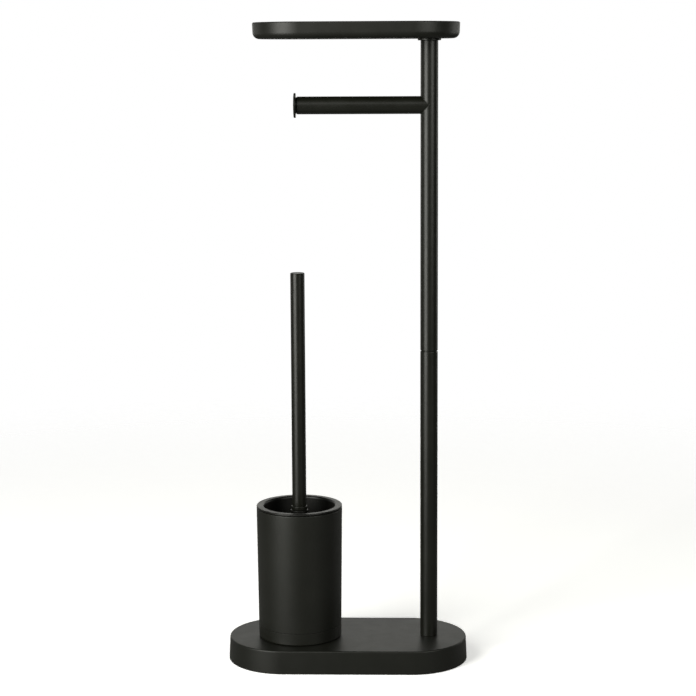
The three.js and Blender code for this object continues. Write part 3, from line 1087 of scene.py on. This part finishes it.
@dataclass
class BrushHolder:
    """The tumbler with its foot, and the liner whose lip stands over a recessed band. In millimetres."""

    wall: float = 2.6
    foot_width: float = 91.4
    top_edge: float = 0.7
    seam_edge: float = 0.15
    foot_edge: float = 0.9
    foot_floor: float = 2.6
    spigot: float = 6.0
    groove: float = 24.0
    lip: float = 1.6
    lip_outer: float = 0.95
    lip_inner: float = 2.2
    band: float = 0.8
    band_inset: float = 1.6
    mouth: float = 39.2
    cup_bottom: float = 36.0
    cup_wall: float = 1.8
    skirt: float = 4.0
    skirt_wall: float = 1.6
    skirt_room: float = 0.5

    def __post_init__(self) -> None:
        """Reads the frame once."""
        self.tumbler_box = Extent.of("holder_tumbler")
        self.foot_box = Extent.of("holder_foot")
        self.liner_box = Extent.of("liner_cup")
        rise = self.tumbler_box.high.z - self.foot_box.low.z
        self.taper = (self.tumbler_box.size.y - self.foot_width) / 2 / rise

    def radius(self, height: float) -> float:
        """The outer radius at a height.

        Args:
            height: above the floor, in millimetres.

        Returns:
            The radius.
        """
        return self.foot_width / 2 + self.taper * (height - self.foot_box.low.z)

    def tumbler(self) -> None:
        """The tapered wall."""
        low, high = self.tumbler_box.low.z, self.tumbler_box.high.z
        bottom, top = self.radius(low), self.radius(high)
        piece = turned(
            "holder_tumbler_wall",
            [
                Corner(bottom - self.wall, low),
                Corner(bottom, low, self.seam_edge),
                Corner(top, high, self.top_edge),
                Corner(top - self.wall, high, self.seam_edge),
            ],
            self.tumbler_box.axis,
            steps=128,
            closed=True,
        )
        place_on(piece, Body.HOLDER, MOULDED, "holder_tumbler")

    def foot(self) -> None:
        """The foot with its spigot, and a groove under it for the grip ring."""
        low = self.foot_box.low.z
        seam = self.tumbler_box.low.z - GAP
        ring = Extent.of("holder_grip_ring")
        inner = self.radius(seam) - self.wall - GAP
        bore = inner - self.wall
        band = ring.size.x / 2
        piece = turned(
            "holder_foot_cup",
            [
                Corner(0.0, low),
                Corner(self.groove - GAP, low),
                Corner(self.groove - GAP, ring.high.z + GAP),
                Corner(band + GAP, ring.high.z + GAP),
                Corner(band + GAP, low),
                Corner(self.radius(low), low, self.foot_edge),
                Corner(self.radius(seam), seam, self.seam_edge),
                Corner(inner, seam),
                Corner(inner, seam + self.spigot, 0.4),
                Corner(bore, seam + self.spigot, 0.4),
                Corner(bore, low + self.foot_floor, 0.8),
                Corner(0.0, low + self.foot_floor),
            ],
            self.foot_box.axis,
            steps=128,
        )
        place_on(piece, Body.HOLDER, MOULDED, "holder_foot")
        grip = turned(
            "holder_grip_band",
            [
                Corner(self.groove, ring.low.z),
                Corner(self.groove, ring.high.z, 0.3),
                Corner(band, ring.high.z, 0.3),
                Corner(band, ring.low.z, 0.5),
                Corner((band + self.groove) / 2 + 1.5, ring.low.z, 0.4),
                Corner((band + self.groove) / 2, ring.low.z + 0.7, 0.4),
                Corner((band + self.groove) / 2 - 1.5, ring.low.z, 0.4),
            ],
            ring.axis,
            closed=True,
            facets=3,
        )
        place_on(grip, Body.HOLDER, RUBBER, "holder_grip_ring")

    def liner(self) -> None:
        """The cup with its rolled lip, the skirt that centres it and its rounded floor."""
        low, high = self.liner_box.low.z, self.liner_box.high.z
        out = self.liner_box.size.x / 2
        under = high - self.lip
        rest = under - self.band
        skirt = out - self.wall - self.skirt_room
        floor = low + self.cup_wall
        piece = turned(
            "liner_cup_moulding",
            [
                Corner(0.0, low),
                Corner(self.cup_bottom + self.cup_wall, low, 1.6),
                Corner(self.mouth + self.cup_wall, rest, 0.3),
                Corner(skirt - self.skirt_wall, rest, 0.3),
                Corner(skirt - self.skirt_wall, rest - self.skirt),
                Corner(skirt, rest - self.skirt, 0.4),
                Corner(skirt, rest),
                Corner(out - self.band_inset, rest),
                Corner(out - self.band_inset, under),
                Corner(out, under, 0.3),
                Corner(out, high, self.lip_outer),
                Corner(self.mouth, high, self.lip_inner),
                Corner(self.cup_bottom, floor, 3.0),
                Corner(0.0, floor),
            ],
            self.liner_box.axis,
            steps=128,
            facets=6,
        )
        place_on(piece, Body.LINER, LINER, "liner_cup")

    def build(self) -> None:
        """Makes the holder's pieces."""
        self.tumbler()
        self.foot()
        self.liner()


@dataclass
class ToiletBrush:
    """The handle, collar, core and tufts. Sizes in millimetres.

    Each of end_rings is a ring of tufts on the core's lower end: how many, how far they tilt down in
    degrees, and their length as a share of the others'. They stay clear of the liner's floor.
    """

    wall: float = 1.0
    chamfer: float = 0.6
    plug_drop: float = 0.25
    collar_edge: float = 0.5
    stem: float = 7.0
    core: float = 13.0
    core_height: float = 72.0
    stud: float = 4.0
    collar: float = 9.75
    collar_height: float = 3.0
    filament: float = 0.26
    filaments: int = 9
    tuft_spread: float = 2.6
    tufts_round: int = 20
    row_pitch: float = 5.9
    end_rings: tuple[tuple[int, float, float], ...] = ((14, 15.0, 0.80), (9, 30.0, 0.46), (4, 70.0, 0.26))
    seed: int = 11

    def handle(self) -> None:
        """The tube with its chamfered end, and the plug pressed into it."""
        box = Extent.of("brush_handle_tube")
        ferrule = Extent.of("brush_ferrule")
        radius = box.size.x / 2
        top = box.high.z
        tube = turned(
            "brush_handle_coat",
            [
                Corner(radius - self.wall, ferrule.high.z),
                Corner(radius, ferrule.high.z, 0.3),
                Corner(radius, top - self.chamfer),
                Corner(radius - self.chamfer, top),
                Corner(radius - self.wall, top),
            ],
            box.axis,
            closed=True,
        )
        place_on(tube, Body.BRUSH, POWDER, "brush_handle_tube")
        plug_box = Extent.of("brush_handle_plug")
        plug = turned(
            "brush_handle_end",
            [
                Corner(0.0, plug_box.low.z),
                Corner(radius - self.wall, plug_box.low.z, 0.4),
                Corner(radius - self.wall, top - self.plug_drop, 0.2),
                Corner(0.0, top - self.plug_drop),
            ],
            box.axis,
        )
        place_on(plug, Body.BRUSH, POWDER, "brush_handle_plug")
        out = ferrule.size.x / 2
        collar = turned(
            "brush_collar",
            [
                Corner(self.stud + 0.3, ferrule.low.z),
                Corner(out, ferrule.low.z, self.collar_edge),
                Corner(out, ferrule.high.z, self.collar_edge),
                Corner(self.stud + 0.3, ferrule.high.z),
            ],
            ferrule.axis,
            closed=True,
        )
        place_on(collar, Body.BRUSH, POWDER, "brush_ferrule")

    def core_moulding(self) -> Extent:
        """The moulding under the handle: stud, flange, stem and core.

        Returns:
            The core's extent.
        """
        box = Extent.of("brush_core")
        ferrule = Extent.of("brush_ferrule")
        low = box.low.z
        top = low + self.core_height
        flange = ferrule.low.z - GAP
        piece = turned(
            "brush_core_moulding",
            [
                Corner(0.0, low),
                Corner(self.core, low, 3.0),
                Corner(self.core, top, 2.0),
                Corner(self.stem + 1.5, top + 1.5, 1.0),
                Corner(self.stem, top + 6.0, 2.0),
                Corner(self.stem, flange - self.collar_height - 1.5, 1.5),
                Corner(self.collar, flange - self.collar_height, 0.5),
                Corner(self.collar, flange, 0.4),
                Corner(self.stud, flange),
                Corner(self.stud, box.high.z, 0.5),
                Corner(0.0, box.high.z),
            ],
            box.axis,
            steps=64,
        )
        place_on(piece, Body.BRUSH, LINER, "brush_core")
        return box

    def tuft(self, length: float) -> bpy.types.Object:
        """One tuft along +X from the origin: filaments that fan out a little.

        Args:
            length: from its root to its tips, in millimetres.

        Returns:
            The tuft.
        """
        strands = []
        for i in range(self.filaments):
            share = math.sqrt((i + 0.5) / self.filaments)
            angle = i * 2.4
            side, up = math.cos(angle) * share, math.sin(angle) * share
            leave_edit()
            bpy.ops.mesh.primitive_cone_add(
                vertices=3,
                radius1=self.filament * MM,
                radius2=self.filament * 0.7 * MM,
                depth=length * MM,
            )
            strand = bpy.context.object
            root = Vector((0.0, side * 0.9, up * 0.9))
            tip = Vector((length - 0.8 * share * (i % 3), side * self.tuft_spread, up * self.tuft_spread))
            run = tip - root
            turn = run.to_track_quat("Z", "Y")
            strand.matrix_world = Matrix.Translation((root + tip) / 2 * MM) @ turn.to_matrix().to_4x4()
            strands.append(strand)
        whole = joined(strands, "tuft")
        settle(whole)
        return whole

    def tufts(self, core: Extent) -> None:
        """Tufts in staggered rows round the core, and on its round end, as one piece.

        Args:
            core: the core's extent.
        """
        space = Extent.of("brush_bristles")
        chance = random.Random(self.seed)
        reach = space.size.x / 2 - self.core + 0.6
        pattern = self.tuft(reach)
        x, y = core.axis
        rows = int((self.core_height - 8.0) / self.row_pitch) + 1
        copies = []
        for row in range(rows):
            height = core.low.z + 6.5 + row * self.row_pitch
            share = row / (rows - 1)
            length = 0.93 + 0.045 * share
            for step in range(self.tufts_round):
                angle = TURN * (step + 0.5 * (row % 2)) / self.tufts_round
                lean = math.radians(chance.uniform(-3.0, 3.0))
                stagger = math.radians(chance.uniform(-2.0, 2.0))
                turn = Matrix.Rotation(angle + stagger, 4, "Z") @ Matrix.Rotation(lean, 4, "Y")
                out = Matrix.Translation(Vector((self.core - 1.0, 0.0, 0.0)) * MM)
                size = Matrix.Diagonal((length * chance.uniform(0.98, 1.0), 1.0, 1.0, 1.0))
                place = Matrix.Translation(Vector((x, y, height)) * MM)
                copies.append(self.planted(pattern, place @ turn @ out @ size))
        for count, tilt, short in self.end_rings:
            for step in range(count):
                spin = Matrix.Rotation(TURN * (step + chance.uniform(-0.1, 0.1)) / count, 4, "Z")
                down = Matrix.Rotation(math.radians(tilt), 4, "Y")
                out = Matrix.Translation(Vector((self.core * 0.75 * math.cos(math.radians(tilt)), 0, 0)) * MM)
                size = Matrix.Diagonal((short, 1.0, 1.0, 1.0))
                place = Matrix.Translation(Vector((x, y, core.low.z + 3.0)) * MM)
                copies.append(self.planted(pattern, place @ spin @ out @ down @ size))
        bpy.data.objects.remove(pattern)
        piece = joined(copies, "brush_tufts")
        settle(piece)
        place_on(piece, Body.BRUSH, NYLON, "brush_bristles")

    def planted(self, pattern: bpy.types.Object, place: Matrix) -> bpy.types.Object:
        """A copy of the tuft set in its hole.

        Args:
            pattern: the tuft.
            place: where it goes.

        Returns:
            The copy.
        """
        twin = pattern.copy()
        twin.data = pattern.data.copy()
        twin.data.transform(place)
        bpy.context.scene.collection.objects.link(twin)
        return twin

    def build(self) -> None:
        """Makes the brush's pieces and dresses the insert."""
        self.handle()
        core = self.core_moulding()
        self.tufts(core)
        dress_nodes(ZINC, "brush_handle_insert")


# ---------------------------------------------------------------- studio


@dataclass(frozen=True)
class Softbox:
    """A soft light: where it stands, what it looks at, its size in metres and its radiance."""

    name: str
    place: tuple[float, float, float]
    aim: tuple[float, float, float]
    width: float
    height: float
    radiance: float
    colour: tuple[float, float, float] = (1.0, 1.0, 0.94)

    def build(self) -> None:
        """Adds the light."""
        data = bpy.data.lights.new(self.name, "AREA")
        data.shape = "RECTANGLE"
        data.size = self.width
        data.size_y = self.height
        data.energy = self.radiance * math.pi * self.width * self.height
        data.color = self.colour
        lamp = bpy.data.objects.new(self.name, data)
        lamp.location = self.place
        lamp.visible_camera = False
        ray = Vector(self.aim) - Vector(self.place)
        lamp.rotation_euler = ray.to_track_quat("-Z", "Y").to_euler()
        bpy.context.scene.collection.objects.link(lamp)


@dataclass
class Studio:
    """The floor, the light and the camera."""

    camera_place: tuple[float, float, float] = (0.05825, -1.97991, 0.66039)
    yaw: float = -0.0285
    pitch: float = 0.1381
    roll: float = 0.0049
    lens: float = 95.03
    shift: float = -0.0474
    floor_radius: float = 3.0
    floor_fade: tuple[float, float] = (0.55, 1.6)
    floor_shown: tuple[float, float] = (1.25, 0.34)
    floor_bounce: float = 0.25
    room: float = 0.03
    softboxes: tuple[Softbox, ...] = (
        Softbox("left_box", (-0.88, -0.94, 0.98), (0.02, 0.0, 0.98), 0.85, 1.90, 6.8),
        Softbox("right_box", (1.40, -1.60, 1.25), (0.05, 0.0, 1.25), 1.15, 1.55, 4.2),
        Softbox("front_box", (0.00, -2.30, 1.75), (0.00, 0.0, 0.60), 1.80, 0.80, 1.1),
        Softbox("right_rim", (1.75, 1.15, 0.65), (0.0, 0.0, 0.30), 0.70, 1.3, 1.6),
        Softbox("left_rim", (-1.75, 1.15, 0.65), (0.0, 0.0, 0.30), 0.70, 1.3, 0.9),
        Softbox("back_box", (0.00, 2.20, 0.75), (0.0, 0.0, 0.03), 3.00, 0.8, 1.25),
    )

    def camera(self) -> None:
        """Adds the camera and makes it the scene's."""
        data = bpy.data.cameras.new("camera")
        data.lens = self.lens
        data.sensor_width = 36.0
        data.shift_y = self.shift
        data.clip_start = 0.05
        data.clip_end = 50.0
        eye = bpy.data.objects.new("camera", data)
        ahead = Vector(
            (
                math.sin(self.yaw) * math.cos(self.pitch),
                math.cos(self.yaw) * math.cos(self.pitch),
                -math.sin(self.pitch),
            )
        )
        eye.location = self.camera_place
        eye.rotation_mode = "QUATERNION"
        eye.rotation_quaternion = Quaternion(ahead, self.roll) @ ahead.to_track_quat("-Z", "Y")
        bpy.context.scene.collection.objects.link(eye)
        bpy.context.scene.camera = eye

    def floor(self) -> None:
        """A plain pale floor that fades into the backdrop, paler to the camera than in its bounce."""
        leave_edit()
        bpy.ops.mesh.primitive_circle_add(vertices=128, radius=self.floor_radius, fill_type="NGON")
        ground = bpy.context.object
        ground.name = "floor"
        sheet = NodeSheet("floor")
        shown, glowing = self.floor_shown
        paint = sheet.add("BsdfDiffuse", Color=(shown, shown, shown, 1.0))
        glow = sheet.add("Emission", Color=(1.0, 1.0, 1.0, 1.0), Strength=glowing)
        dull = sheet.add("BsdfDiffuse", Color=(self.floor_bounce, self.floor_bounce, self.floor_bounce, 1.0))
        seen = sheet.add("MixShader")
        path = sheet.add("LightPath")
        lit = sheet.add("AddShader")
        clear = sheet.add("BsdfTransparent")
        edge = sheet.add("MixShader")
        place = sheet.add("TexCoord")
        length = sheet.add("VectorMath")
        length.operation = "LENGTH"
        output = sheet.add("OutputMaterial")
        sheet.join(place.outputs["Object"], length.inputs[0])
        fade = sheet.ranged(length.outputs["Value"], 0.0, 1.0, *self.floor_fade)
        sheet.join(fade, edge.inputs[0])
        sheet.join(paint.outputs[0], lit.inputs[0])
        sheet.join(glow.outputs[0], lit.inputs[1])
        sheet.join(path.outputs["Is Camera Ray"], seen.inputs[0])
        sheet.join(dull.outputs[0], seen.inputs[1])
        sheet.join(lit.outputs[0], seen.inputs[2])
        sheet.join(seen.outputs[0], edge.inputs[1])
        sheet.join(clear.outputs[0], edge.inputs[2])
        sheet.join(edge.outputs[0], output.inputs["Surface"])
        ground.data.materials.append(sheet.material)

    def backdrop(self) -> None:
        """White behind everything, and a dimmer room for the light that falls on the object."""
        world = bpy.data.worlds.new("backdrop")
        bpy.context.scene.world = world
        world.use_nodes = True
        tree = world.node_tree
        tree.nodes.clear()
        dim = tree.nodes.new("ShaderNodeBackground")
        dim.inputs["Strength"].default_value = self.room
        white = tree.nodes.new("ShaderNodeBackground")
        white.inputs["Strength"].default_value = 1.0
        for shade in (dim, white):
            shade.inputs["Color"].default_value = (1.0, 1.0, 1.0, 1.0)
        path = tree.nodes.new("ShaderNodeLightPath")
        mix = tree.nodes.new("ShaderNodeMixShader")
        output = tree.nodes.new("ShaderNodeOutputWorld")
        tree.links.new(path.outputs["Is Camera Ray"], mix.inputs[0])
        tree.links.new(dim.outputs[0], mix.inputs[1])
        tree.links.new(white.outputs[0], mix.inputs[2])
        tree.links.new(mix.outputs[0], output.inputs["Surface"])

    def build(self) -> None:
        """Sets the stage."""
        bpy.context.scene.view_settings.view_transform = "Standard"
        self.camera()
        self.floor()
        self.backdrop()
        for softbox in self.softboxes:
            softbox.build()


def corners(box: tuple[Vector, Vector]) -> list[list[float]]:
    """A box as plain lists of numbers."""
    return [list(corner) for corner in box]


def main() -> None:
    """Builds the object on its frame."""
    logging.basicConfig(level=logging.INFO, format="%(message)s")
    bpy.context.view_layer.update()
    Studio().build()
    for assembly in (WeightedBase(), Pole(), RollArm(), TrayShelf(), BrushHolder(), ToiletBrush()):
        assembly.build()
        LOG.info("built %s", type(assembly).__name__)
    leave_edit()


if __name__ == "__main__":
    main()
